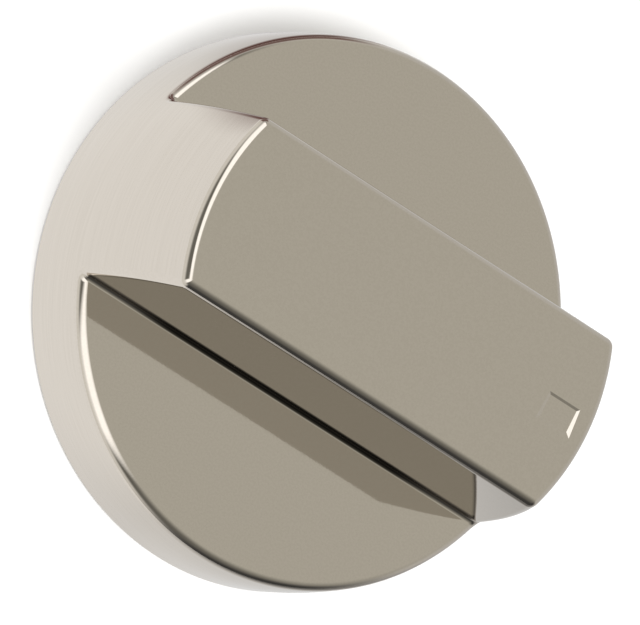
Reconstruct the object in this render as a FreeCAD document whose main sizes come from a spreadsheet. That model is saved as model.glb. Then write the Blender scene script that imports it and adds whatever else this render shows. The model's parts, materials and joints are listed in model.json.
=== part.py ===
import FreeCAD, Part
import math
import os

import Sketcher

# Oven control knob with a grip bar across its whole diameter.
# A hollow die-cast body carries a moulded hub, pressed into its socket, that takes
# the oven's flatted spindle. A folded leaf spring in the hub presses on the flat.
# Millimetres. The origin is the centre of the back rim, +Z points away from the panel
# and +X runs along the grip bar to its pointer.

# Driving dimensions: name, value in millimetres or degrees, meaning
SIZES = [
    ("knob_diameter", "45.0", "outer diameter at the back rim"),
    ("knob_height", "20.3", "back rim to the face of the grip bar"),
    ("shoulder_height", "7.6", "back rim to the flat shoulders beside the bar"),
    ("skirt_height", "2.2", "straight part of the wall above the rim"),
    ("wall_arc_radius", "49.3", "curve of the wall in section above the skirt"),
    ("straight_margin", "0.3", "straight wall past the roundings at the shoulders"),
    ("bar_width", "15.3", "grip bar across its face"),
    ("bar_draft", "1.2", "lean of the bar's sides, degrees"),
    ("edge_radius", "0.85", "rounding of the outer edges"),
    ("root_radius", "0.4", "rounding where the bar stands on the shoulders"),
    ("rim_bevel", "0.3", "bevel of the back rim"),
    ("wall", "2.0", "wall of the hollow casting"),
    ("core_draft", "8.0", "lean of the hollow's outer wall above the skirt, degrees"),
    ("pointer_inset", "6.1", "rim to the middle of the pointer recess"),
    ("pointer_length", "2.75", "floor of the pointer recess along the bar"),
    ("pointer_width", "1.9", "floor of the pointer recess across the bar"),
    ("pointer_depth", "0.105", "depth at the middle of the recess"),
    ("pointer_fall", "1.5", "fall of the recess floor across the bar, degrees"),
    ("pointer_draft", "70.0", "lean of the recess walls from upright, degrees"),
    ("rib_count", "4", "ribs between the socket boss and the skirt"),
    ("rib_thickness", "1.4", "thickness of a rib"),
    ("rib_recess", "2.0", "back rim to the ribs"),
    ("rib_turn", "45.0", "first rib from the bar, degrees"),
    ("socket_wall", "1.3", "wall of the socket boss round the hub"),
    ("tip_cover", "4.3", "face of the bar to the top of the socket"),
    ("tip_clearance", "2.0", "depth above the hub for the spindle's tip"),
    ("hub_recess", "1.0", "back rim to the hub's mouth"),
    ("hub_diameter", "9.6", "outside of the hub"),
    ("hub_chamfer", "0.5", "chamfers of the hub"),
    ("hub_gap", "0.04", "gap between the hub and its socket, all round"),
    ("key_width", "2.4", "width of the key that stops the hub turning"),
    ("key_height", "0.7", "key above the hub's outside"),
    ("spindle_diameter", "6.0", "diameter of the oven's spindle"),
    ("flat_depth", "1.4", "what the flat takes off the spindle"),
    ("spindle_gap", "0.05", "gap round the spindle"),
    ("lead_in", "4.0", "round stretch of the bore at the mouth"),
    ("lead_gap", "0.3", "gap round the spindle in that stretch"),
    ("slot_depth", "1.5", "spring slot behind the flat"),
    ("slot_floor", "0.6", "land between the lead-in and the spring slot"),
    ("spring_thickness", "0.3", "spring leaf"),
    ("spring_width", "3.6", "width of the spring leaf"),
    ("spring_bow", "0.35", "bow of the inner leg"),
    ("spring_bow_radius", "14.0", "radius of the bow"),
    ("spring_reach", "0.2", "spring past the flat while no spindle is in"),
    ("spring_end_gap", "0.3", "least gap between the spring's two legs at the free end"),
    ("spring_gap", "0.05", "gap between the spring and its slot"),
]

# Sketch conventions: the axes and root point of a sketch, and the points of an edge
H_AXIS, V_AXIS = -1, -2
START, END, CENTRE = 1, 2, 3
ROOT = (H_AXIS, START)

# How far a cut runs past the surface it leaves by
CUT_PAST = 1.0
NEAR = 1e-4

# Lengths worked out from the driving dimensions
RADIUS = "dim.knob_diameter / 2"
HALF_BAR = "dim.bar_width / 2"
BAR_LEAN = "tan(dim.bar_draft * 1 deg)"
HALF_BAR_FOOT = f"({HALF_BAR} + (dim.knob_height - dim.shoulder_height) * {BAR_LEAN})"
HUB_RADIUS = "dim.hub_diameter / 2"
SOCKET_RADIUS = f"({HUB_RADIUS} + dim.hub_gap)"
TIP_HEIGHT = "(dim.knob_height - dim.tip_cover)"
SEAT_HEIGHT = f"({TIP_HEIGHT} - dim.tip_clearance)"
HUB_LENGTH = f"({SEAT_HEIGHT} - dim.hub_recess)"
KEY_ROOT = f"-{HUB_RADIUS} / 2"
BORE_RADIUS = "(dim.spindle_diameter / 2 + dim.spindle_gap)"
LEAD_RADIUS = "(dim.spindle_diameter / 2 + dim.lead_gap)"
FLAT_REACH = "(dim.spindle_diameter / 2 - dim.flat_depth + dim.spindle_gap)"
SLOT_MOUTH = f"{FLAT_REACH} / 2"
SLOT_WALL = f"({FLAT_REACH} + dim.slot_depth)"
SLOT_START = "(dim.lead_in + dim.slot_floor)"


def make_sheet(doc):
    """Spreadsheet of the driving dimensions, one named cell each."""
    sheet = doc.addObject("Spreadsheet::Sheet", "dim")
    for row, (name, value, meaning) in enumerate(SIZES, start=1):
        sheet.set(f"A{row}", meaning)
        sheet.set(f"B{row}", value)
        sheet.setAlias(f"B{row}", name)
    doc.recompute()
    return sheet


def number_of(item, expression):
    """Number that an expression over the sheet gives."""
    return float(item.evalExpression(expression))


def make_body(doc, label):
    """Empty body whose label names its file."""
    body = doc.addObject("PartDesign::Body", label)
    body.Label = label
    return body


def make_sketch(body, name, role, height="0"):
    """Sketch on one of the body's own planes, lifted along the plane's normal."""
    plane = [feature for feature in body.Origin.OriginFeatures if feature.Role == role][0]
    sketch = body.newObject("Sketcher::SketchObject", name)
    sketch.AttachmentSupport = [(plane, "")]
    sketch.MapMode = "FlatFace"
    sketch.setExpression("AttachmentOffset.Base.z", height)
    return sketch


def bind(sketch, kind, places, expression):
    """Dimension of a sketch that follows an expression."""
    value = number_of(sketch, expression)
    index = sketch.addConstraint(Sketcher.Constraint(kind, *places, value))
    sketch.setExpression(f"Constraints[{index}]", expression)


def bind_point(sketch, edge, end, across, up):
    """Hold a point of a sketch at two expressions, on an axis where one is 0."""
    if across == "0" and up == "0":
        sketch.addConstraint(Sketcher.Constraint("Coincident", edge, end, *ROOT))
        return
    for kind, axis, expression in (("DistanceX", V_AXIS, across), ("DistanceY", H_AXIS, up)):
        if expression == "0":
            sketch.addConstraint(Sketcher.Constraint("PointOnObject", edge, end, axis))
        else:
            bind(sketch, kind, (*ROOT, edge, end), expression)


def point_of(sketch, across, up):
    """Vector at two expressions."""
    return FreeCAD.Vector(number_of(sketch, across), number_of(sketch, up), 0)


def draw_outline(sketch, corners):
    """Closed outline of straight edges, each corner held at its own expressions."""
    points = [point_of(sketch, *corner) for corner in corners]
    edges = []
    for start, end in zip(points, points[1:] + points[:1]):
        edges.append(sketch.addGeometry(Part.LineSegment(start, end), False))
    for edge, following in zip(edges, edges[1:] + edges[:1]):
        sketch.addConstraint(Sketcher.Constraint("Coincident", edge, END, following, START))
    for edge, corner in zip(edges, corners):
        bind_point(sketch, edge, START, *corner)


def draw_rectangle(sketch, left, right, half_width):
    """Rectangle that lies evenly on both sides of the horizontal axis."""
    below = f"-({half_width})"
    draw_outline(sketch, [(left, below), (right, below), (right, half_width), (left, half_width)])


def arc_of(centre, radius, start, end):
    """Arc between two angles in radians."""
    return Part.ArcOfCircle(Part.Circle(centre, FreeCAD.Vector(0, 0, 1), radius), start, end)


def draw_circle(sketch, radius):
    """Circle about the sketch's root point."""
    circle = Part.Circle(FreeCAD.Vector(), FreeCAD.Vector(0, 0, 1), number_of(sketch, radius))
    edge = sketch.addGeometry(circle, False)
    sketch.addConstraint(Sketcher.Constraint("Coincident", edge, CENTRE, *ROOT))
    bind(sketch, "Radius", (edge,), radius)


def pad(body, name, sketch, length):
    """Extrude a sketch along its normal."""
    feature = body.newObject("PartDesign::Pad", name)
    feature.Profile = sketch
    feature.setExpression("Length", length)
    body.Document.recompute()


def pocket(body, name, sketch, length=None, symmetric=False):
    """Cut a sketch along its normal, right through where no length is given."""
    before = body.Shape.Volume
    feature = body.newObject("PartDesign::Pocket", name)
    feature.Profile = sketch
    feature.Reversed = True
    if symmetric:
        feature.SideType = "Symmetric"
    if length is None:
        feature.Type = "ThroughAll"
    else:
        feature.setExpression("Length", length)
    body.Document.recompute()
    if body.Shape.Volume > before - NEAR:
        raise RuntimeError(f"{name} cuts nothing")
    return feature


def turn(body, kind, name, sketch):
    """Revolve a sketch about its vertical axis, to add or to cut."""
    feature = body.newObject(kind, name)
    feature.Profile = sketch
    feature.ReferenceAxis = (sketch, ["V_Axis"])
    feature.Angle = 360.0
    body.Document.recompute()
    return feature


def dress(body, kind, name, size_name, size, wanted):
    """Round or bevel the edges of the body that pass a test."""
    base = body.Tip
    names = [f"Edge{number}" for number, edge in enumerate(base.Shape.Edges, start=1) if wanted(edge)]
    if not names:
        raise RuntimeError(f"{name} finds no edge")
    feature = body.newObject(kind, name)
    feature.Base = (base, names)
    feature.setExpression(size_name, size)
    body.Document.recompute()
    return feature


def middle_of(edge):
    """Point halfway along an edge."""
    return edge.valueAt((edge.FirstParameter + edge.LastParameter) / 2)


def near(value, target):
    """Whether two lengths are the same."""
    return abs(value - target) < NEAR


def lies_at_height(edge, height):
    """Whether an edge is level, at a height."""
    return all(near(point.z, height) for point in (middle_of(edge), *[v.Point for v in edge.Vertexes]))


# Body of the knob: the outer form, less the core that leaves its walls, boss and ribs
def draw_wall_profile(sketch):
    """Half section: level back, straight skirt, wall curving in to the bar's face.

    The curve has a short straight stretch at the shoulders, where their rims and roots are rounded.
    """
    bend = "dim.wall_arc_radius"
    stretch_start = "(dim.shoulder_height - dim.edge_radius - dim.straight_margin)"
    stretch_end = "(dim.shoulder_height + dim.root_radius + dim.straight_margin)"
    foot = point_of(sketch, RADIUS, "0")
    skirt = point_of(sketch, RADIUS, "dim.skirt_height")
    bottom = FreeCAD.Vector()
    top = point_of(sketch, "0", "dim.knob_height")
    bend_radius = number_of(sketch, bend)
    lean = number_of(sketch, f"asin(({stretch_start} - dim.skirt_height) / {bend}) / 1 rad")
    lower_arc = arc_of(skirt - FreeCAD.Vector(bend_radius, 0, 0), bend_radius, 0, lean)
    run = FreeCAD.Vector(-math.tan(lean), 1, 0) * number_of(sketch, f"{stretch_end} - {stretch_start}")
    stretch = Part.LineSegment(lower_arc.EndPoint, lower_arc.EndPoint + run)
    inward = FreeCAD.Vector(-math.cos(lean), -math.sin(lean), 0)
    upper_centre = stretch.EndPoint + inward * bend_radius
    top_lean = math.asin((top.y - upper_centre.y) / bend_radius)
    upper_arc = arc_of(upper_centre, bend_radius, lean, top_lean)
    back_edge = sketch.addGeometry(Part.LineSegment(bottom, foot), False)
    skirt_edge = sketch.addGeometry(Part.LineSegment(foot, skirt), False)
    lower_edge = sketch.addGeometry(lower_arc, False)
    stretch_edge = sketch.addGeometry(stretch, False)
    upper_edge = sketch.addGeometry(upper_arc, False)
    face_edge = sketch.addGeometry(Part.LineSegment(upper_arc.EndPoint, top), False)
    axis_edge = sketch.addGeometry(Part.LineSegment(top, bottom), False)
    sketch.addConstraint(Sketcher.Constraint("Coincident", back_edge, END, skirt_edge, START))
    sketch.addConstraint(Sketcher.Constraint("Tangent", skirt_edge, END, lower_edge, START))
    sketch.addConstraint(Sketcher.Constraint("Tangent", lower_edge, END, stretch_edge, START))
    sketch.addConstraint(Sketcher.Constraint("Tangent", stretch_edge, END, upper_edge, START))
    sketch.addConstraint(Sketcher.Constraint("Coincident", upper_edge, END, face_edge, START))
    sketch.addConstraint(Sketcher.Constraint("Coincident", face_edge, END, axis_edge, START))
    sketch.addConstraint(Sketcher.Constraint("Coincident", axis_edge, END, back_edge, START))
    sketch.addConstraint(Sketcher.Constraint("Horizontal", face_edge))
    bind_point(sketch, back_edge, START, "0", "0")
    bind_point(sketch, back_edge, END, RADIUS, "0")
    bind_point(sketch, skirt_edge, END, RADIUS, "dim.skirt_height")
    bind_point(sketch, axis_edge, START, "0", "dim.knob_height")
    bind(sketch, "DistanceY", (*ROOT, lower_edge, END), stretch_start)
    bind(sketch, "DistanceY", (*ROOT, upper_edge, START), stretch_end)
    bind(sketch, "Radius", (lower_edge,), bend)
    bind(sketch, "Radius", (upper_edge,), bend)


def draw_core_profile(sketch):
    """Half section of the core: straight walls that lean in above the skirt, so that it draws out."""
    radius = f"({RADIUS} - dim.wall)"
    height = "(dim.knob_height - dim.wall)"
    narrowing = f"({height} - dim.skirt_height) * tan(dim.core_draft * 1 deg)"
    below = f"-{CUT_PAST}"
    draw_outline(sketch, [
        ("0", below),
        (radius, below),
        (radius, "dim.skirt_height"),
        (f"{radius} - {narrowing}", height),
        ("0", height),
    ])


def draw_shoulder_cuts(sketch, inset):
    """What is cut away beside the bar: two areas with the bar's leaning sides."""
    foot_height = f"(dim.shoulder_height - {inset})"
    bar_foot = f"({HALF_BAR} - {inset} + (dim.knob_height - {foot_height}) * {BAR_LEAN})"
    bar_above = f"({HALF_BAR} - {inset} - {CUT_PAST} * {BAR_LEAN})"
    outside = f"({RADIUS} + {CUT_PAST})"
    above = f"dim.knob_height + {CUT_PAST}"
    for sign in ("", "-"):
        draw_outline(sketch, [
            (sign + bar_foot, foot_height),
            (sign + outside, foot_height),
            (sign + outside, above),
            (sign + bar_above, above),
        ])


def make_knob_form(body, draw_profile, inset):
    """Turned form with a bar between two shoulders, which lie inside the knob's own by an inset."""
    profile = make_sketch(body, "WallProfile", "XZ_Plane")
    draw_profile(profile)
    turn(body, "PartDesign::Revolution", "Turned", profile)
    sides = make_sketch(body, "ShoulderCuts", "YZ_Plane")
    draw_shoulder_cuts(sides, inset)
    pocket(body, "Shoulders", sides, symmetric=True)


def make_core(doc):
    """Core of the casting: its hollow, with room left for the socket boss and the ribs."""
    core = make_body(doc, "casting_core")
    make_knob_form(core, draw_core_profile, "dim.wall")
    boss = make_sketch(core, "BossPlan", "XY_Plane", "dim.hub_recess")
    draw_circle(boss, f"{SOCKET_RADIUS} + dim.socket_wall")
    pocket(core, "Boss", boss)
    plan = make_sketch(core, "RibPlan", "XY_Plane", "dim.rib_recess")
    plan.AttachmentOffset.Rotation.Axis = FreeCAD.Vector(0, 0, 1)
    plan.setExpression("AttachmentOffset.Rotation.Angle", "dim.rib_turn * 1 deg")
    draw_rectangle(plan, SOCKET_RADIUS, f"{RADIUS} + {CUT_PAST}", "dim.rib_thickness / 2")
    rib = pocket(core, "Rib", plan)
    ribs = core.newObject("PartDesign::PolarPattern", "Ribs")
    ribs.Originals = [rib]
    ribs.Axis = (plan, ["N_Axis"])
    ribs.Angle = 360.0
    ribs.setExpression("Occurrences", "dim.rib_count")
    core.Tip = ribs
    doc.recompute()
    return core


def cut_socket(body):
    """Stepped bore and keyway that the hub is pressed into."""
    profile = make_sketch(body, "SocketProfile", "XZ_Plane")
    draw_outline(profile, [
        ("0", "0"),
        (SOCKET_RADIUS, "0"),
        (SOCKET_RADIUS, SEAT_HEIGHT),
        (BORE_RADIUS, SEAT_HEIGHT),
        (BORE_RADIUS, TIP_HEIGHT),
        ("0", TIP_HEIGHT),
    ])
    turn(body, "PartDesign::Groove", "Socket", profile)
    plan = make_sketch(body, "KeywayPlan", "XY_Plane")
    outer = f"-({SOCKET_RADIUS} + dim.key_height)"
    draw_rectangle(plan, outer, KEY_ROOT, "dim.key_width / 2 + dim.hub_gap")
    pocket(body, "Keyway", plan, SEAT_HEIGHT)


def cut_pointer(body):
    """Shallow square recess with leaning walls; its floor falls across the bar.

    The floor lies a little off the middle, so that the outline on the bar's face is centred.
    """
    spread = "sin(dim.pointer_fall * 1 deg) * tan(dim.pointer_draft * 1 deg)"
    sketch = make_sketch(body, "PointerFloor", "XY_Plane", "dim.knob_height - dim.pointer_depth")
    sketch.setExpression("AttachmentOffset.Base.y", f"dim.pointer_width / 2 * {spread}")
    sketch.AttachmentOffset.Rotation.Axis = FreeCAD.Vector(1, 0, 0)
    sketch.setExpression("AttachmentOffset.Rotation.Angle", "dim.pointer_fall * 1 deg")
    middle = f"{RADIUS} - dim.pointer_inset"
    draw_rectangle(sketch, f"{middle} - dim.pointer_length / 2", f"{middle} + dim.pointer_length / 2",
                   "dim.pointer_width / 2")
    recess = pocket(body, "Pointer", sketch, f"dim.pointer_depth + {CUT_PAST}")
    recess.setExpression("TaperAngle", "dim.pointer_draft * 1 deg")


def make_knob_body(doc):
    """Hollow casting with rounded edges, a hub socket and the pointer recess."""
    core = make_core(doc)
    body = make_body(doc, "knob_body")
    make_knob_form(body, draw_wall_profile, "0")
    hollow = body.newObject("PartDesign::Boolean", "Hollow")
    hollow.Type = "Cut"
    hollow.setObjects([core])
    doc.recompute()
    cut_socket(body)

    top = number_of(body, "dim.knob_height")
    shoulder = number_of(body, "dim.shoulder_height")
    half_bar = number_of(body, HALF_BAR)
    bar_foot = number_of(body, HALF_BAR_FOOT)
    root_end = number_of(body, f"{HALF_BAR_FOOT} + dim.root_radius")
    rim = number_of(body, RADIUS)

    def is_root(edge):
        return lies_at_height(edge, shoulder) and near(abs(middle_of(edge).y), bar_foot)

    def is_outer(edge):
        if lies_at_height(edge, top):
            return True
        middle = middle_of(edge)
        if lies_at_height(edge, shoulder):
            return abs(middle.y) > root_end
        rises = edge.BoundBox.ZMin > shoulder - NEAR and near(edge.BoundBox.ZMax, top)
        return rises and abs(middle.y) > half_bar - NEAR

    def is_rim(edge):
        return lies_at_height(edge, 0.0) and near(edge.BoundBox.XMax, rim)

    dress(body, "PartDesign::Fillet", "BarRoot", "Radius", "dim.root_radius", is_root)
    dress(body, "PartDesign::Fillet", "OuterEdges", "Radius", "dim.edge_radius", is_outer)
    dress(body, "PartDesign::Chamfer", "BackRim", "Size", "dim.rim_bevel", is_rim)
    cut_pointer(body)
    return body


# Hub that takes the spindle, from its own mouth at height 0
def draw_flatted_bore(sketch):
    """Bore of the spindle's section: a circle cut short by the flat."""
    radius = number_of(sketch, BORE_RADIUS)
    flat = number_of(sketch, FLAT_REACH)
    half = (radius ** 2 - flat ** 2) ** 0.5
    upper = FreeCAD.Vector(flat, half, 0)
    lower = FreeCAD.Vector(flat, -half, 0)
    arc = sketch.addGeometry(Part.Arc(upper, FreeCAD.Vector(-radius, 0, 0), lower), False)
    line = sketch.addGeometry(Part.LineSegment(lower, upper), False)
    sketch.addConstraint(Sketcher.Constraint("Coincident", arc, END, line, START))
    sketch.addConstraint(Sketcher.Constraint("Coincident", line, END, arc, START))
    sketch.addConstraint(Sketcher.Constraint("Coincident", arc, CENTRE, *ROOT))
    sketch.addConstraint(Sketcher.Constraint("Vertical", line))
    bind(sketch, "Radius", (arc,), BORE_RADIUS)
    bind(sketch, "DistanceX", (*ROOT, line, START), FLAT_REACH)


def make_hub_insert(doc):
    """Keyed bush with a round lead-in, a flatted bore and a slot for the spring."""
    body = make_body(doc, "hub_insert")
    body.setExpression("Placement.Base.z", "dim.hub_recess")
    outside = make_sketch(body, "HubPlan", "XY_Plane")
    draw_circle(outside, HUB_RADIUS)
    pad(body, "Hub", outside, HUB_LENGTH)
    key = make_sketch(body, "KeyPlan", "XY_Plane")
    draw_rectangle(key, f"-({HUB_RADIUS} + dim.key_height)", KEY_ROOT, "dim.key_width / 2")
    pad(body, "Key", key, HUB_LENGTH)

    lead = make_sketch(body, "LeadInPlan", "XY_Plane")
    draw_circle(lead, LEAD_RADIUS)
    pocket(body, "LeadIn", lead, "dim.lead_in")
    bore = make_sketch(body, "BorePlan", "XY_Plane")
    draw_flatted_bore(bore)
    pocket(body, "Bore", bore)
    slot = make_sketch(body, "SlotPlan", "XY_Plane", SLOT_START)
    draw_rectangle(slot, SLOT_MOUTH, SLOT_WALL, "dim.spring_width / 2 + dim.spring_gap")
    pocket(body, "SpringSlot", slot)

    length = number_of(body, HUB_LENGTH)
    mouth_radius = number_of(body, LEAD_RADIUS)
    hub_radius = number_of(body, HUB_RADIUS)

    def is_mouth(edge):
        return lies_at_height(edge, 0.0) and near(edge.BoundBox.XMax, mouth_radius)

    def is_outer_end(edge):
        middle = middle_of(edge)
        return lies_at_height(edge, length) and near(middle.x ** 2 + middle.y ** 2, hub_radius ** 2)

    dress(body, "PartDesign::Chamfer", "MouthBevel", "Size", "dim.hub_chamfer", is_mouth)
    dress(body, "PartDesign::Chamfer", "EndBevel", "Size", "dim.hub_chamfer", is_outer_end)
    return body


# Leaf spring, from the floor of its slot at height 0
SPRING_LEG = f"({SLOT_WALL} - dim.spring_gap - dim.spring_thickness / 2)"
SPRING_CREST = f"({FLAT_REACH} - dim.spring_reach + dim.spring_thickness / 2)"
SPRING_FOLD = f"(({SPRING_LEG} - {SPRING_CREST} - dim.spring_bow) / 2)"
SPRING_TOP = f"({HUB_LENGTH} - {SLOT_START} - dim.spring_gap)"
SPRING_FOLD_HEIGHT = f"({SPRING_FOLD} + dim.spring_thickness / 2 + dim.spring_gap)"
SPRING_RISE = f"sqrt(dim.spring_bow * (2 * (dim.spring_bow_radius - {SPRING_FOLD}) - dim.spring_bow))"
SPRING_RETURN = f"({SPRING_LEG} - {SPRING_CREST} - dim.spring_thickness - dim.spring_end_gap)"
SPRING_END_RISE = f"sqrt({SPRING_RETURN} * (2 * dim.spring_bow_radius - {SPRING_RETURN}))"
SPRING_CREST_HEIGHT = f"({SPRING_FOLD_HEIGHT} + {SPRING_RISE})"
SPRING_END = f"min({SPRING_TOP}; {SPRING_CREST_HEIGHT} + {SPRING_END_RISE})"


def draw_spring_path(sketch):
    """Middle line of the leaf: straight outer leg, tight fold, inner leg bowed to the flat.

    The inner leg ends at the hub's top, or lower where its bow would bring it back to the outer leg.
    """
    bow_middle = f"({SPRING_CREST} + dim.spring_bow_radius)"
    leg_top = point_of(sketch, SPRING_LEG, SPRING_TOP)
    leg_foot = point_of(sketch, SPRING_LEG, SPRING_FOLD_HEIGHT)
    fold = number_of(sketch, SPRING_FOLD)
    bow = number_of(sketch, "dim.spring_bow_radius")
    fold_centre = leg_foot - FreeCAD.Vector(fold, 0, 0)
    bow_centre = point_of(sketch, bow_middle, SPRING_CREST_HEIGHT)
    meeting = fold_centre + (fold_centre - bow_centre) * (fold / (bow - fold))
    end_rise = number_of(sketch, SPRING_END) - bow_centre.y
    bow_end = bow_centre + FreeCAD.Vector(-(bow ** 2 - end_rise ** 2) ** 0.5, end_rise, 0)
    outward = (bow_end + meeting) * 0.5 - bow_centre
    halfway = bow_centre + outward * (bow / outward.Length)
    bottom = fold_centre - FreeCAD.Vector(0, fold, 0)
    leg_edge = sketch.addGeometry(Part.LineSegment(leg_top, leg_foot), False)
    fold_edge = sketch.addGeometry(Part.Arc(meeting, bottom, leg_foot), False)
    bow_edge = sketch.addGeometry(Part.Arc(bow_end, halfway, meeting), False)
    bind_point(sketch, leg_edge, START, SPRING_LEG, SPRING_TOP)
    bind_point(sketch, leg_edge, END, SPRING_LEG, SPRING_FOLD_HEIGHT)
    sketch.addConstraint(Sketcher.Constraint("Tangent", leg_edge, END, fold_edge, END))
    sketch.addConstraint(Sketcher.Constraint("Tangent", fold_edge, START, bow_edge, END))
    bind(sketch, "Radius", (fold_edge,), SPRING_FOLD)
    bind(sketch, "Radius", (bow_edge,), "dim.spring_bow_radius")
    bind(sketch, "DistanceX", (*ROOT, bow_edge, CENTRE), bow_middle)
    bind(sketch, "DistanceY", (*ROOT, bow_edge, START), SPRING_END)


def make_spring_clip(doc):
    """Leaf swept along its folded middle line."""
    body = make_body(doc, "spring_clip")
    body.setExpression("Placement.Base.z", f"dim.hub_recess + {SLOT_START}")
    path = make_sketch(body, "SpringPath", "XZ_Plane")
    draw_spring_path(path)
    section = make_sketch(body, "SpringSection", "XY_Plane", SPRING_TOP)
    draw_rectangle(section, f"{SPRING_LEG} - dim.spring_thickness / 2",
                   f"{SPRING_LEG} + dim.spring_thickness / 2", "dim.spring_width / 2")
    doc.recompute()
    leaf = body.newObject("PartDesign::AdditivePipe", "Leaf")
    leaf.Profile = section
    leaf.Spine = (path, ["Edge1", "Edge2", "Edge3"])
    doc.recompute()
    return body


def write_parts(doc, bodies):
    """Refuse anything failed, then write each body to its own file."""
    for item in doc.Objects:
        if "Invalid" in item.State or "Error" in item.State:
            raise RuntimeError(f"{item.Label}: {item.State}")
    for body in bodies:
        if body.Shape.isNull() or not body.Shape.isValid() or len(body.Shape.Solids) != 1:
            raise RuntimeError(f"{body.Label} is not one valid solid")
    os.makedirs("parts", exist_ok=True)
    for body in bodies:
        body.Shape.exportStep(f"parts/{body.Label}.step")
        print(body.Label, round(body.Shape.Volume, 1), "mm3")


def main():
    doc = FreeCAD.newDocument("oven_control_knob")
    make_sheet(doc)
    bodies = [make_knob_body(doc), make_hub_insert(doc), make_spring_clip(doc)]
    doc.recompute()
    write_parts(doc, bodies)


main()
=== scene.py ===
import json
import math

import bmesh
import bpy
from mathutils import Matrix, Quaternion, Vector


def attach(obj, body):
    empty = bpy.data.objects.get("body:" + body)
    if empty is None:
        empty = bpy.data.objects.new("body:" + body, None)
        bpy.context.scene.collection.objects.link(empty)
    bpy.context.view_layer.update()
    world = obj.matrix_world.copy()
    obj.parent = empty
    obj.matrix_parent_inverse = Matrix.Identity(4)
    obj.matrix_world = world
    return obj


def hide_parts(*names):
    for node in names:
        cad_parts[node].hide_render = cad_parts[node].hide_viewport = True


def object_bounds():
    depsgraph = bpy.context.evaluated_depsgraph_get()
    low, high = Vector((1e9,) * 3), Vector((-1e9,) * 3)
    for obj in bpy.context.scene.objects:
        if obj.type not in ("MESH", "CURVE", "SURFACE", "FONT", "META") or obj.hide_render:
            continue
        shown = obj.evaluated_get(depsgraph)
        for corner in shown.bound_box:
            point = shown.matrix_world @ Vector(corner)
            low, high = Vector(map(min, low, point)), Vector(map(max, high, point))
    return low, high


# Oven control knob in satin nickel, lying on its back rim on a white table.
# Metres, in the part's own frame: +Z up from the table, +X along the grip bar to its pointer.
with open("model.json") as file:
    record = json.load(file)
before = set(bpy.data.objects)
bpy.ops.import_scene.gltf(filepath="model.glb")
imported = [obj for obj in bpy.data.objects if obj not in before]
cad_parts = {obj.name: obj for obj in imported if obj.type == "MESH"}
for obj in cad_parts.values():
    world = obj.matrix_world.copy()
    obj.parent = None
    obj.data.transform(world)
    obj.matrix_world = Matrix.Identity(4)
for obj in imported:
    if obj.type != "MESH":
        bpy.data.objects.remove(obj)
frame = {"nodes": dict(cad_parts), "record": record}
cad_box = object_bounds()

MM = 0.001

# Sizes of the knob's outer form, as in the solid; the radius is that of the solid's facets
RADIUS = 22.493 * MM
HEIGHT = 20.3 * MM
SHOULDER = 7.6 * MM
SKIRT = 2.2 * MM
BEND = 49.3 * MM
STRAIGHT_MARGIN = 0.3 * MM
HALF_BAR = 7.65 * MM
BAR_LEAN = math.radians(1.2)
EDGE = 0.85 * MM
ROOT = 0.4 * MM
BEVEL = 0.3 * MM
POINTER_MIDDLE = 16.4 * MM
POINTER_HALF_LENGTH = 1.375 * MM
POINTER_HALF_WIDTH = 0.95 * MM
POINTER_DEPTH = 0.105 * MM
POINTER_FALL = math.radians(1.5)
POINTER_SPREAD = math.tan(math.radians(70))

# Steps of the outer skin, and how deep a facet of the solid must lie to belong to the hollow
FACE_STEPS = 40
TURN_STEPS = 10
SIDE_STEPS = 12
SHOULDER_STEPS = 80
EDGE_STEPS = 16
SKIRT_STEPS = 12
SKIN_DEPTH = 0.5 * MM

# Camera, from above the far end of the bar
VIEW_AZIMUTH = math.radians(-61.19)
VIEW_ELEVATION = math.radians(60.84)
VIEW_ROLL = math.radians(90.457)
VIEW_DISTANCE = 0.989
VIEW_ASIDE = 3.377 * MM
LENS_MM = 691.5
SENSOR_MM = 36.0

# Table: a round white sheet; in the metal it is mirrored as a painted pool of light, brightest at the far
# end, with painted dark patches on two sides
TABLE_RADIUS = 85 * MM
TABLE_DROP = 0.01 * MM
TABLE_SIDES = 96
TABLE_ALBEDO = 0.8
TABLE_GLOW = 0.13
TABLE_LEVELS = (1.02, 0.82, 0.66)
TABLE_FALL_TURN = 17.0
TABLE_FALLS = ((-22 * MM, -9 * MM), (8 * MM, 24 * MM))
GREY_PATCH = (0.28, 0.28, 0.28, 1.0)
GREY_MIDDLE = (35 * MM, -45 * MM, 0.0)
GREY_EDGE = (10 * MM, 42 * MM)
BROWN_PATCH = (0.17, 0.08, 0.075, 1.0)
BROWN_MIDDLE = (-22 * MM, 46 * MM, 0.0)
BROWN_EDGE = (15 * MM, 32 * MM)
BROWN_SIDE = (-10 * MM, 1 * MM)

# Studio round the object, by direction; turns are in degrees from +X
CEILING = (1.0, 0.98, 0.885, 1.0)
CEILING_LEVEL = 0.57
CEILING_LOW_LEVEL = 0.17
CEILING_FALL = (-0.75, 0.10)
GAP_LEVEL = 0.19
GAP_SIDE = (-0.30, 0.02)
HORIZON_RISE = (0.20, 0.62)
HORIZON_SIDE = (-0.5, 0.5)
HORIZON_LEVELS = (0.88, 0.62)
DARK_TURNS = (-52.0, 107.0)
DARK_EDGES = ((42.0, 10.0), (32.0, 20.0))
DARK_TOPS = ((0.90, 1.00), (0.22, 0.42))
DARKS = ((0.06, 0.06, 0.06, 1.0), (0.22, 0.145, 0.135, 1.0))
HORIZON = (1.0, 0.99, 0.95, 1.0)
SOFTBOX = 1.6
LEAST_LENGTH = 0.02
NEAR_BOX = {
    "turn": -130.0,
    "tilt": 42.0,
    "sides": ((-0.50, -0.26), (0.10, 0.38)),
    "ends": ((-1.9, -0.6), (0.0, 0.85)),
}
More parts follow.
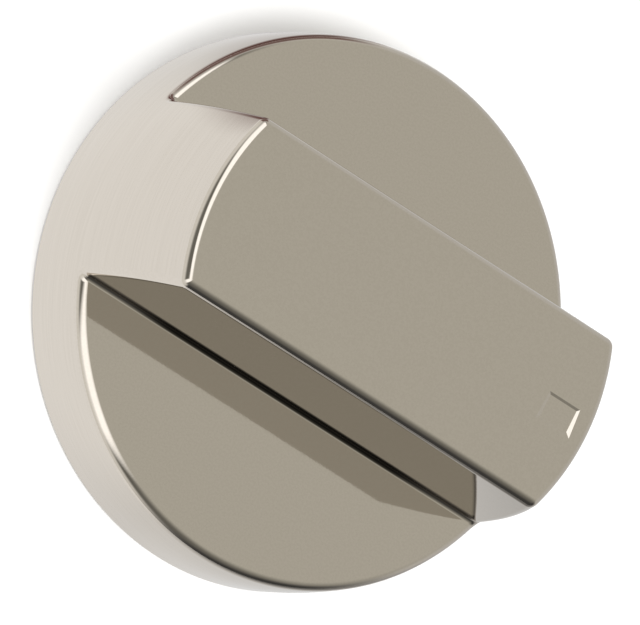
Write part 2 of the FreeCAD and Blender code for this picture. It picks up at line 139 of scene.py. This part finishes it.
FAR_BOX = {
    "turn": 122.0,
    "tilt": 35.0,
    "sides": ((-0.46, -0.24), (0.15, 0.25)),
    "ends": ((-0.85, -0.55), (0.20, 0.65)),
}

# Overhead lamp that throws the shadow on the table
LAMP_POWER = 2.15
LAMP_TURN = math.radians(-60)
LAMP_TILT = math.radians(17)
LAMP_SOFTNESS = math.radians(28)

# Satin nickel, painted shade in the roots of the bar, and the rougher skin inside the casting
NICKEL = (0.660, 0.610, 0.545, 1.0)
NICKEL_STREAK = (0.640, 0.590, 0.525, 1.0)
ROOT_SHADE = (0.10, 0.09, 0.075, 1.0)
ROOT_SHADE_REACH = (0.55 * ROOT, 1.0 * ROOT)
ROOT_SHADE_ENDS = (11 * MM, 18 * MM)
CAST = (0.46, 0.43, 0.39, 1.0)
POLISHED, BRUSHED, AS_CAST = 0.0, 1.0, 2.0

# Noise of each finish in counts per metre, with its roughness and the strength of its relief
NOISE_SPAN = (0.3, 0.7)
STREAK_SPAN = (0.35, 0.65)
BRUSHING = (130.0, 130.0, 6500.0)
GRAIN = (5000.0, 5000.0, 5000.0)
FACE_ROUGHNESS = 0.045
WALL_ROUGHNESS = (0.06, 0.12)
CAST_ROUGHNESS = (0.38, 0.52)
FACE_RELIEF, WALL_RELIEF, CAST_RELIEF = 0.01, 0.05, 0.3
RELIEF_DEPTH = 0.05 * MM

# Black plastic of the hub and bright strip of the spring
PLASTIC = ((0.035, 0.035, 0.040, 1.0), (0.055, 0.055, 0.060, 1.0))
PLASTIC_GRAIN = (4000.0, 4000.0, 4000.0)
PLASTIC_ROUGHNESS = (0.42, 0.58)
PLASTIC_RELIEF = 0.25
STEEL = ((0.46, 0.47, 0.49, 1.0), (0.56, 0.57, 0.59, 1.0))
ROLLING = (900.0, 9000.0, 250.0)
STEEL_ROUGHNESS = (0.22, 0.34)
STEEL_RELIEF = 0.1
STEEL_RELIEF_DEPTH = 0.02 * MM


def add_node(tree, kind, inputs=(), **settings):
    """Node with its settings and inputs, each input a plain value or another node's output."""
    node = tree.nodes.new(kind)
    for name, value in settings.items():
        setattr(node, name, value)
    for key, value in dict(inputs).items():
        if isinstance(value, bpy.types.NodeSocket):
            tree.links.new(value, node.inputs[key])
        else:
            node.inputs[key].default_value = value
    return node


def calc(tree, operation, *values):
    """Output of a Math node."""
    return add_node(tree, "ShaderNodeMath", enumerate(values), operation=operation).outputs[0]


def along(tree, place, axis):
    """How far a place or direction reaches along an axis."""
    node = add_node(tree, "ShaderNodeVectorMath", {0: place, 1: axis}, operation="DOT_PRODUCT")
    return node.outputs["Value"]


def distance(tree, place, middle):
    """How far a place is from a point."""
    node = add_node(tree, "ShaderNodeVectorMath", {0: place, 1: middle}, operation="DISTANCE")
    return node.outputs["Value"]


def level_axis(turn):
    """Level direction, turned by degrees from +X."""
    return math.cos(math.radians(turn)), math.sin(math.radians(turn)), 0.0


def ramp(tree, value, span, low=0.0, high=1.0):
    """Smooth change from low to high as the value crosses a span."""
    inputs = {"Value": value, "From Min": span[0], "From Max": span[1], "To Min": low, "To Max": high}
    return add_node(tree, "ShaderNodeMapRange", inputs, interpolation_type="SMOOTHSTEP").outputs[0]


def mix_colours(tree, factor, first, second):
    """Colour between two others."""
    return add_node(tree, "ShaderNodeMix", {0: factor, 6: first, 7: second}, data_type="RGBA").outputs[2]


def mix_values(tree, factor, first, second):
    """Number between two others."""
    return add_node(tree, "ShaderNodeMix", {0: factor, 2: first, 3: second}, data_type="FLOAT").outputs[0]


def scaled(tree, colour, level):
    """Colour at a level."""
    inputs = {0: colour[:3], "Scale": level}
    return add_node(tree, "ShaderNodeVectorMath", inputs, operation="SCALE").outputs[0]


def noise(tree, place, stretch, detail=3.0):
    """Noise over the part's own coordinates, with its own count per metre along each axis."""
    node = add_node(tree, "ShaderNodeVectorMath", {0: place, 1: stretch}, operation="MULTIPLY")
    inputs = {"Vector": node.outputs[0], "Scale": 1.0, "Detail": detail, "Roughness": 0.6}
    return add_node(tree, "ShaderNodeTexNoise", inputs).outputs[0]


def new_material(name):
    """Material with a Principled shader, its tree and the part's own coordinates."""
    material = bpy.data.materials.new(name)
    material.use_nodes = True
    tree = material.node_tree
    shader = tree.nodes["Principled BSDF"]
    place = add_node(tree, "ShaderNodeTexCoord").outputs["Object"]
    return material, tree, shader, place


def add_relief(tree, shader, height, strength, depth):
    """Fine relief on a shader."""
    bump = add_node(tree, "ShaderNodeBump", {"Height": height, "Strength": strength, "Distance": depth})
    tree.links.new(bump.outputs[0], shader.inputs["Normal"])


def near_root(tree, place):
    """Mask of the painted shade: 1 in the tight corner between bar and shoulder, 0 outside it and towards
    the bar's ends.
    """
    x, y, z = add_node(tree, "ShaderNodeSeparateXYZ", {0: place}).outputs
    beside = add_node(tree, "ShaderNodeCombineXYZ", {1: calc(tree, "ABSOLUTE", y), 2: z}).outputs[0]
    corner = (0.0, ROOT_MIDDLE[0] - ROOT, SHOULDER)
    tight = ramp(tree, distance(tree, beside, corner), ROOT_SHADE_REACH, 1.0, 0.0)
    between_ends = ramp(tree, calc(tree, "ABSOLUTE", x), ROOT_SHADE_ENDS, 1.0, 0.0)
    return calc(tree, "MULTIPLY", tight, between_ends)


def satin_nickel():
    """Plated casting: polished faces, a wall finely brushed all round, and an as-cast hollow."""
    material, tree, shader, place = new_material("satin_nickel")
    finish = add_node(tree, "ShaderNodeAttribute", attribute_name="finish").outputs["Fac"]
    on_wall = calc(tree, "COMPARE", finish, BRUSHED, 0.5)
    inside = calc(tree, "GREATER_THAN", finish, (BRUSHED + AS_CAST) / 2)
    brushing = noise(tree, place, BRUSHING)
    grain = noise(tree, place, GRAIN, 1.0)
    marks = mix_values(tree, on_wall, grain, brushing)
    plated = mix_colours(tree, ramp(tree, marks, STREAK_SPAN), NICKEL, NICKEL_STREAK)
    # Painted shade: the nickel darkens to a near-black line in the tight corner between bar and shoulder
    plated = mix_colours(tree, near_root(tree, place), plated, ROOT_SHADE)
    tree.links.new(mix_colours(tree, inside, plated, CAST), shader.inputs["Base Color"])
    outer = mix_values(tree, on_wall, FACE_ROUGHNESS, ramp(tree, brushing, NOISE_SPAN, *WALL_ROUGHNESS))
    skin = ramp(tree, grain, NOISE_SPAN, *CAST_ROUGHNESS)
    tree.links.new(mix_values(tree, inside, outer, skin), shader.inputs["Roughness"])
    relief = mix_values(tree, inside, mix_values(tree, on_wall, FACE_RELIEF, WALL_RELIEF), CAST_RELIEF)
    add_relief(tree, shader, marks, relief, RELIEF_DEPTH)
    shader.inputs["Metallic"].default_value = 1.0
    return material


def hub_plastic():
    """Black moulded plastic with a fine grain."""
    material, tree, shader, place = new_material("hub_plastic")
    grain = noise(tree, place, PLASTIC_GRAIN)
    tree.links.new(mix_colours(tree, grain, *PLASTIC), shader.inputs["Base Color"])
    tree.links.new(ramp(tree, grain, NOISE_SPAN, *PLASTIC_ROUGHNESS), shader.inputs["Roughness"])
    add_relief(tree, shader, grain, PLASTIC_RELIEF, RELIEF_DEPTH)
    return material


def spring_steel():
    """Bright rolled strip, with rolling marks along its length."""
    material, tree, shader, place = new_material("spring_steel")
    rolling = noise(tree, place, ROLLING)
    tree.links.new(mix_colours(tree, rolling, *STEEL), shader.inputs["Base Color"])
    tree.links.new(ramp(tree, rolling, NOISE_SPAN, *STEEL_ROUGHNESS), shader.inputs["Roughness"])
    add_relief(tree, shader, rolling, STEEL_RELIEF, STEEL_RELIEF_DEPTH)
    shader.inputs["Metallic"].default_value = 1.0
    return material


# Wall of the knob in section: straight skirt, lower bend, straight stretch, upper bend
STRETCH_FOOT = SHOULDER - EDGE - STRAIGHT_MARGIN
STRETCH_TOP = SHOULDER + ROOT + STRAIGHT_MARGIN
WALL_LEAN = math.asin((STRETCH_FOOT - SKIRT) / BEND)
LOWER_CENTRE = RADIUS - BEND
UPPER_CENTRE = LOWER_CENTRE - (STRETCH_TOP - STRETCH_FOOT) * math.tan(WALL_LEAN)
UPPER_CENTRE_HEIGHT = STRETCH_TOP - BEND * math.sin(WALL_LEAN)


def wall_at(height, inset=0.0):
    """Radius and lean of the wall, or of a surface inside it, at a height."""
    bend = BEND - inset
    lower_end = SKIRT + bend * math.sin(WALL_LEAN)
    upper_start = UPPER_CENTRE_HEIGHT + bend * math.sin(WALL_LEAN)
    if height <= SKIRT:
        return RADIUS - inset, 0.0
    if height < lower_end:
        lean = math.asin((height - SKIRT) / bend)
        return LOWER_CENTRE + bend * math.cos(lean), lean
    if height < upper_start:
        rise = (height - lower_end) * math.tan(WALL_LEAN)
        return LOWER_CENTRE + bend * math.cos(WALL_LEAN) - rise, WALL_LEAN
    lean = math.asin((height - UPPER_CENTRE_HEIGHT) / bend)
    return UPPER_CENTRE + bend * math.cos(lean), lean


# Section across the bar: middle of its top roundings and of its roots
TOP_MIDDLE = (HALF_BAR - EDGE * (1 - math.sin(BAR_LEAN)) / math.cos(BAR_LEAN), HEIGHT - EDGE)
ROOT_HEIGHT = SHOULDER + ROOT
ROOT_OUTWARD = (ROOT + (HEIGHT - ROOT_HEIGHT) * math.sin(BAR_LEAN)) / math.cos(BAR_LEAN)
ROOT_MIDDLE = (HALF_BAR + ROOT_OUTWARD, ROOT_HEIGHT)


def steps(start, end, count):
    """Even steps from one value to another."""
    return [start + (end - start) * step / count for step in range(count + 1)]


def pointer_corner(end, side):
    """Corner of the pointer recess's floor, and of its outline on the bar's face."""
    rise = POINTER_DEPTH - side * POINTER_HALF_WIDTH * math.sin(POINTER_FALL)
    rise /= math.cos(POINTER_FALL) + side * POINTER_SPREAD * math.sin(POINTER_FALL)
    off_middle = POINTER_HALF_WIDTH * math.sin(POINTER_FALL) * POINTER_SPREAD
    places = []
    for height in (0.0, rise):
        widening = height * POINTER_SPREAD
        across = side * (POINTER_HALF_WIDTH + widening)
        places.append(Vector((
            POINTER_MIDDLE + end * (POINTER_HALF_LENGTH + widening),
            off_middle + across * math.cos(POINTER_FALL) - height * math.sin(POINTER_FALL),
            HEIGHT - POINTER_DEPTH + across * math.sin(POINTER_FALL) + height * math.cos(POINTER_FALL),
        )))
    return places


def half_section():
    """Section from the bar's face to a shoulder's rim: distance across, height and turn of the normal."""
    rows = []
    for turn in steps(math.pi / 2, BAR_LEAN, TURN_STEPS)[1:]:
        rows.append((TOP_MIDDLE[0] + EDGE * math.cos(turn), TOP_MIDDLE[1] + EDGE * math.sin(turn), turn))
    across, height, _ = rows[-1]
    foot_across = ROOT_MIDDLE[0] - ROOT * math.cos(BAR_LEAN)
    foot_height = ROOT_HEIGHT - ROOT * math.sin(BAR_LEAN)
    side = zip(steps(across, foot_across, SIDE_STEPS)[1:], steps(height, foot_height, SIDE_STEPS)[1:])
    rows += [(*place, BAR_LEAN) for place in side]
    for turn in steps(BAR_LEAN, math.pi / 2, TURN_STEPS)[1:-1]:
        rows.append((ROOT_MIDDLE[0] - ROOT * math.cos(turn), ROOT_HEIGHT - ROOT * math.sin(turn), turn))
    reach = wall_at(SHOULDER - EDGE, EDGE)[0]
    for turn in steps(math.asin(ROOT_MIDDLE[0] / reach), math.pi / 2, SHOULDER_STEPS):
        rows.append((reach * math.sin(turn), SHOULDER, math.pi / 2))
    return rows


def whole_section():
    """Section from rim to rim; the bar's face has rows at both edges of the pointer recess."""
    half = half_section()
    edges = [pointer_corner(1, side)[1].y for side in (-1, 1)]
    face = sorted(steps(-TOP_MIDDLE[0], TOP_MIDDLE[0], FACE_STEPS) + edges)
    left = [(-across, height, math.pi - turn) for across, height, turn in reversed(half)]
    return left + [(across, HEIGHT, math.pi / 2) for across in face] + half


class Row:
    """Line of the skin along the bar, and the ball that rounds its ends into the wall."""

    def __init__(self, across, height, turn):
        self.across, self.height = across, height
        self.normal = Vector((0, math.cos(turn), math.sin(turn)))
        centre = Vector((0, across, height)) - self.normal * EDGE
        reach, lean = wall_at(centre.z, EDGE)
        self.out = math.sqrt(max(reach * reach - centre.y * centre.y, 0.0))
        self.centre = Vector((self.out, centre.y, centre.z))
        self.turn = math.atan2(centre.y, self.out)
        self.contact_height = centre.z + EDGE * math.sin(lean)
        outward = Vector((math.cos(self.turn), math.sin(self.turn), 0))
        self.wall_normal = outward * math.cos(lean) + Vector((0, 0, math.sin(lean)))

    def corner(self, x):
        """Point of the line with its normal."""
        return Vector((x, self.across, self.height)), self.normal

    def rounding(self, end):
        """Points with normals round the edge at one end."""
        points = []
        for part in steps(0.0, 1.0, EDGE_STEPS):
            normal = self.normal.slerp(self.wall_normal, part)
            point = self.centre + normal * EDGE
            for item in (point, normal):
                item.x *= end
            points.append((point, normal))
        return points


class Skin:
    """Facets with shared corners, each corner with its own normal and each facet with its finish."""

    def __init__(self):
        self.points, self.normals, self.facets, self.finishes = [], [], [], []
        self.known = {}

    def corner(self, point, normal):
        key = tuple(round(value / MM, 5) for value in point) + tuple(round(value, 3) for value in normal)
        if key not in self.known:
            self.known[key] = len(self.points)
            self.points.append(point)
            self.normals.append(normal)
        return self.known[key]

    def facet(self, corners, finish):
        """Facet turned to the side of its normals; corners that fall together count once."""
        start, *rest = (point for point, _ in corners)
        turned = sum(((b - start).cross(c - start) for b, c in zip(rest, rest[1:])), Vector())
        if turned.dot(sum((normal for _, normal in corners), Vector())) < 0:
            corners = corners[::-1]
        indices = list(dict.fromkeys(self.corner(point, normal) for point, normal in corners))
        if len(indices) > 2:
            self.facets.append(indices)
            self.finishes.append(finish)

    def sheet(self, rows, finish):
        """Facets between neighbouring rows of corners."""
        for first, second in zip(rows, rows[1:]):
            for left, right, far_right, far_left in zip(first, first[1:], second[1:], second):
                self.facet([left, right, far_right, far_left], finish)

    def flat(self, places, upward):
        """Flat facet, seen from a side."""
        normal = (places[1] - places[0]).cross(places[2] - places[0]).normalized()
        if normal.dot(upward) < 0:
            normal = -normal
        self.facet([(place, normal) for place in places], POLISHED)


def wall_corner(turn, height):
    """Point of the wall with its normal."""
    reach, lean = wall_at(height)
    outward = Vector((math.cos(turn), math.sin(turn), 0))
    normal = outward * math.cos(lean) + Vector((0, 0, math.sin(lean)))
    return outward * reach + Vector((0, 0, height)), normal


def add_bar_and_shoulders(skin, rows):
    """Lines along the bar from end to end, left open over the pointer recess."""
    low, high = (pointer_corner(1, side)[1] for side in (-1, 1))
    for first, second in zip(rows, rows[1:]):
        lines = [[row.corner(-row.out), row.corner(row.out)] for row in (first, second)]
        middle = (first.across + second.across) / 2
        if first.height < HEIGHT or second.height < HEIGHT or not low.y < middle < high.y:
            skin.sheet(lines, POLISHED)
            continue
        for end in (-1, 1):
            opening = []
            for row in (first, second):
                part = (row.across - low.y) / (high.y - low.y)
                half = low.x + (high.x - low.x) * part - POINTER_MIDDLE
                opening.append([row.corner(end * row.out), row.corner(POINTER_MIDDLE + end * half)])
            skin.sheet(opening, POLISHED)


def add_pointer(skin):
    """Floor and leaning walls of the recess."""
    corners = [pointer_corner(*place) for place in ((-1, -1), (1, -1), (1, 1), (-1, 1))]
    up = Vector((0, 0, 1))
    skin.flat([floor for floor, _ in corners], up)
    for (floor, rim), (next_floor, next_rim) in zip(corners, corners[1:] + corners[:1]):
        skin.flat([floor, next_floor, next_rim, rim], up)


def add_wall(skin, rows):
    """Wall: a panel over each end of the bar, and below them a whole ring down to the back rim."""
    face = [row for row in rows if row.height == HEIGHT]
    foot = [row for row in rows if row.height == SHOULDER]
    down = rows[rows.index(face[-1]):rows.index(next(row for row in foot if row.across > 0)) + 1]
    parts = [row.turn / face[-1].turn for row in face]
    turns = {row.turn for row in foot} | {down[-1].turn * part for part in parts}
    for far in (False, True):
        panel = []
        for row in down:
            across = [math.pi - row.turn * part if far else row.turn * part for part in parts]
            panel.append([wall_corner(turn, row.contact_height) for turn in across])
        skin.sheet(panel, BRUSHED)
    ring = sorted({round(turn % (2 * math.pi), 9) for base in turns for turn in (base, math.pi - base)})
    ring.append(ring[0] + 2 * math.pi)
    heights = steps(foot[0].contact_height, SKIRT, SKIRT_STEPS) + [BEVEL]
    skin.sheet([[wall_corner(turn, height) for turn in ring] for height in heights], BRUSHED)
    around = [Vector((math.cos(turn), math.sin(turn), 0)) for turn in ring]
    up = Vector((0, 0, 1))
    bevel = []
    for reach, height in ((RADIUS, BEVEL), (RADIUS - BEVEL, 0.0)):
        bevel.append([(out * reach + up * height, (out - up).normalized()) for out in around])
    skin.sheet(bevel, POLISHED)


def in_hollow(point):
    """Whether a point of the solid lies well under the outer skin."""
    if math.hypot(point.x, point.y) > wall_at(point.z)[0] - SKIN_DEPTH:
        return False
    side = HALF_BAR + (HEIGHT - point.z) * math.tan(BAR_LEAN)
    under_bar = abs(point.y) < side - SKIN_DEPTH and point.z < HEIGHT - SKIN_DEPTH
    return under_bar or point.z < SHOULDER - SKIN_DEPTH


def add_hollow(skin, mesh):
    """The solid's own facets inside and at the back."""
    for polygon in mesh.polygons:
        if in_hollow(polygon.center):
            places = [mesh.vertices[index].co.copy() for index in polygon.vertices]
            normals = [mesh.corner_normals[loop].vector.copy() for loop in polygon.loop_indices]
            skin.facet(list(zip(places, normals)), AS_CAST)


def make_casting(material):
    """The casting: a smooth outer skin over the solid's own hollow."""
    skin = Skin()
    rows = [Row(*place) for place in whole_section()]
    add_bar_and_shoulders(skin, rows)
    for end in (-1, 1):
        skin.sheet([row.rounding(end) for row in rows], POLISHED)
    add_pointer(skin)
    add_wall(skin, rows)
    add_hollow(skin, frame["nodes"]["knob_body"].data)
    mesh = bpy.data.meshes.new("casting")
    mesh.from_pydata(skin.points, [], skin.facets)
    mesh.polygons.foreach_set("use_smooth", [True] * len(mesh.polygons))
    mesh.normals_split_custom_set_from_vertices(skin.normals)
    mesh.attributes.new("finish", "FLOAT", "FACE").data.foreach_set("value", skin.finishes)
    mesh.materials.append(material)
    casting = bpy.data.objects.new("casting", mesh)
    bpy.context.scene.collection.objects.link(casting)
    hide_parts("knob_body")
    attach(casting, "root")


def dress_nodes():
    """Put each node's material on it."""
    made = {"satin_nickel": satin_nickel(), "hub_plastic": hub_plastic(), "spring_steel": spring_steel()}
    for subpart in frame["record"]["subparts"]:
        item = frame["nodes"][subpart["node"]]
        item.data.materials.clear()
        item.data.materials.append(made[subpart["material_slot"]])
    make_casting(made["satin_nickel"])


def table_material():
    """White sheet that takes the object's shadow; mirrored in the object, it shows a painted pool of light
    that darkens on two sides.
    """
    material, tree, shader, place = new_material("white_table")
    shader.inputs["Base Color"].default_value = (TABLE_ALBEDO, TABLE_ALBEDO, TABLE_ALBEDO, 1.0)
    shader.inputs["Roughness"].default_value = 1.0
    shader.inputs["Specular IOR Level"].default_value = 0.0
    shader.inputs["Emission Color"].default_value = (1.0, 1.0, 1.0, 1.0)
    path = add_node(tree, "ShaderNodeLightPath")
    mirrored = calc(tree, "MAXIMUM", path.outputs["Is Glossy Ray"], path.outputs["Is Transmission Ray"])
    glow = calc(tree, "MULTIPLY", path.outputs["Is Camera Ray"], TABLE_GLOW)
    tree.links.new(glow, shader.inputs["Emission Strength"])
    # Painted light: for reflections the sheet glows brightest at the far end and dimmer away from it, with
    # a painted grey and a painted brown patch
    reach = along(tree, place, level_axis(TABLE_FALL_TURN))
    lit = ramp(tree, reach, TABLE_FALLS[0], *TABLE_LEVELS[:2])
    lit = mix_values(tree, ramp(tree, reach, TABLE_FALLS[1]), lit, TABLE_LEVELS[2])
    beyond = ramp(tree, along(tree, place, level_axis(0.0)), BROWN_SIDE)
    off_brown = ramp(tree, distance(tree, place, BROWN_MIDDLE), BROWN_EDGE)
    clear_of_brown = calc(tree, "MAXIMUM", beyond, off_brown)
    clear_of_grey = ramp(tree, distance(tree, place, GREY_MIDDLE), GREY_EDGE)
    colour = mix_colours(tree, clear_of_brown, BROWN_PATCH, (1.0, 1.0, 1.0, 1.0))
    colour = mix_colours(tree, clear_of_grey, GREY_PATCH, colour)
    sheet = add_node(tree, "ShaderNodeEmission", {"Color": colour, "Strength": lit})
    choice = add_node(tree, "ShaderNodeMixShader", {0: mirrored, 1: shader.outputs[0], 2: sheet.outputs[0]})
    tree.links.new(choice.outputs[0], tree.nodes["Material Output"].inputs["Surface"])
    return material


def lay_table():
    """Round sheet under the object."""
    mesh = bpy.data.meshes.new("table")
    shape = bmesh.new()
    bmesh.ops.create_circle(shape, cap_ends=True, radius=TABLE_RADIUS, segments=TABLE_SIDES)
    shape.to_mesh(mesh)
    shape.free()
    mesh.materials.append(table_material())
    table = bpy.data.objects.new("table", mesh)
    table.location.z = cad_box[0].z - TABLE_DROP
    bpy.context.scene.collection.objects.link(table)


def softbox(tree, direction, turn, tilt, sides, ends):
    """1 inside a panel that faces the object, given its turn, its tilt from overhead and its soft edges."""
    turn, tilt = math.radians(turn), math.radians(tilt)
    outward = Vector((math.cos(turn), math.sin(turn), 0))
    facing = outward * math.sin(tilt) + Vector((0, 0, math.cos(tilt)))
    down = outward * math.cos(tilt) - Vector((0, 0, math.sin(tilt)))
    right = down.cross(facing)
    depth = calc(tree, "MAXIMUM", along(tree, direction, facing), LEAST_LENGTH)
    across = calc(tree, "DIVIDE", along(tree, direction, right), depth)
    below = calc(tree, "DIVIDE", along(tree, direction, down), depth)
    wide = calc(tree, "MULTIPLY", ramp(tree, across, sides[0]), ramp(tree, across, sides[1], 1.0, 0.0))
    high = calc(tree, "MULTIPLY", ramp(tree, below, ends[0]), ramp(tree, below, ends[1], 1.0, 0.0))
    return calc(tree, "MULTIPLY", wide, high)


def surroundings(tree, direction):
    """Room without its lamps: pale ceiling, dim over the far end, and a horizon dark on two sides."""
    x, y, z = add_node(tree, "ShaderNodeSeparateXYZ", {0: direction}).outputs
    ceiling = ramp(tree, y, CEILING_FALL, CEILING_LOW_LEVEL, CEILING_LEVEL)
    ceiling = mix_values(tree, ramp(tree, x, GAP_SIDE), GAP_LEVEL, ceiling)
    horizon = scaled(tree, HORIZON, ramp(tree, x, HORIZON_SIDE, *HORIZON_LEVELS))
    level = calc(tree, "SQRT", calc(tree, "SUBTRACT", 1.0, calc(tree, "MULTIPLY", z, z)))
    level = calc(tree, "MAXIMUM", level, LEAST_LENGTH)
    for turn, (edge, core), top, dark in zip(DARK_TURNS, DARK_EDGES, DARK_TOPS, DARKS):
        towards = calc(tree, "DIVIDE", along(tree, direction, level_axis(turn)), level)
        span = (math.cos(math.radians(edge)), math.cos(math.radians(core)))
        share = calc(tree, "MULTIPLY", ramp(tree, towards, span), ramp(tree, z, top, 1.0, 0.0))
        horizon = mix_colours(tree, share, horizon, dark)
    return mix_colours(tree, ramp(tree, z, HORIZON_RISE), horizon, scaled(tree, CEILING, ceiling))


def light_studio():
    """World: white for the camera, and round the object a room with two softboxes that meet overhead."""
    world = bpy.data.worlds.new("studio")
    world.use_nodes = True
    bpy.context.scene.world = world
    tree = world.node_tree
    tree.nodes.clear()
    direction = add_node(tree, "ShaderNodeTexCoord").outputs["Generated"]
    lamps = calc(tree, "MAXIMUM", softbox(tree, direction, **NEAR_BOX), softbox(tree, direction, **FAR_BOX))
    lit = mix_colours(tree, lamps, surroundings(tree, direction), (SOFTBOX, SOFTBOX, SOFTBOX, 1.0))
    camera_ray = add_node(tree, "ShaderNodeLightPath").outputs["Is Camera Ray"]
    shown = mix_colours(tree, camera_ray, lit, (1.0, 1.0, 1.0, 1.0))
    background = add_node(tree, "ShaderNodeBackground", {"Color": shown, "Strength": 1.0})
    output = add_node(tree, "ShaderNodeOutputWorld")
    tree.links.new(background.outputs[0], output.inputs[0])


def hang_lamp():
    """Broad overhead lamp for the table; the metal mirrors only the studio."""
    data = bpy.data.lights.new("overhead", "SUN")
    data.energy = LAMP_POWER
    data.angle = LAMP_SOFTNESS
    lamp = bpy.data.objects.new("overhead", data)
    towards = Vector((math.cos(LAMP_TURN), math.sin(LAMP_TURN), 0)) * math.sin(LAMP_TILT)
    towards.z = math.cos(LAMP_TILT)
    lamp.rotation_mode = "QUATERNION"
    lamp.rotation_quaternion = (-towards).to_track_quat("-Z", "Y")
    lamp.visible_glossy = False
    bpy.context.scene.collection.objects.link(lamp)


def place_camera():
    """Long lens at the photograph's angle."""
    back = Vector((math.sin(VIEW_AZIMUTH), -math.cos(VIEW_AZIMUTH), 0)) * math.cos(VIEW_ELEVATION)
    back.z = math.sin(VIEW_ELEVATION)
    turn = (-back).to_track_quat("-Z", "Y") @ Quaternion((0, 0, 1), VIEW_ROLL)
    data = bpy.data.cameras.new("camera")
    data.lens = LENS_MM
    data.sensor_width = SENSOR_MM
    camera = bpy.data.objects.new("camera", data)
    camera.rotation_mode = "QUATERNION"
    camera.rotation_quaternion = turn
    camera.location = back * VIEW_DISTANCE + turn @ Vector((VIEW_ASIDE, 0, 0))
    bpy.context.scene.collection.objects.link(camera)
    bpy.context.scene.camera = camera


bpy.context.scene.view_settings.view_transform = "Standard"
dress_nodes()
lay_table()
light_studio()
hang_lamp()
place_camera()
